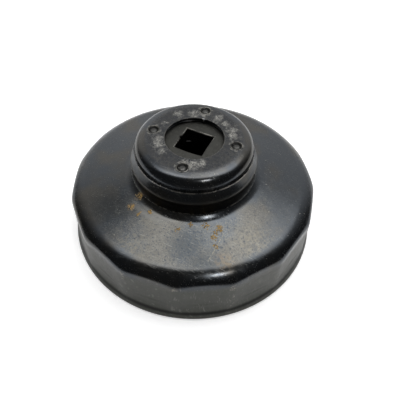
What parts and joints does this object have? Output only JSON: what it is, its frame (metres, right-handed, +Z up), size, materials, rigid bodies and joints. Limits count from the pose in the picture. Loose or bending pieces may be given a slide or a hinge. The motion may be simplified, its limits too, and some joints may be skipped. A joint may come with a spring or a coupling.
{
  "type": "oil filter wrench",
  "caption": "Cap-type oil filter wrench: a domed steel cap with a flat-sided skirt that grips a spin-on filter, and a square drive plate inside its necked top.",
  "frame": {"origin": "on the cap's axis, at the underside of the lip that the tool stands on", "axes": "+Z up the axis from the lip to the drive end; +X and +Y square to the sides of the drive hole, with a corner of the skirt on +X"},
  "size_m": [0.0868, 0.0868, 0.0404],
  "materials": {
    "blued_steel": "black oxide, semi-gloss, worn",
    "plate_steel": "black oxide, matt",
    "rivet_steel": "black oxide, rubbed bright on the rim"
  },
  "bodies": {
    "root": {"outer_shell": "blued_steel", "drive_plate": "plate_steel", "drive_rivet_1": "rivet_steel", "drive_rivet_2": "rivet_steel", "drive_rivet_3": "rivet_steel", "drive_rivet_4": "rivet_steel"}
  },
  "joints": []
}
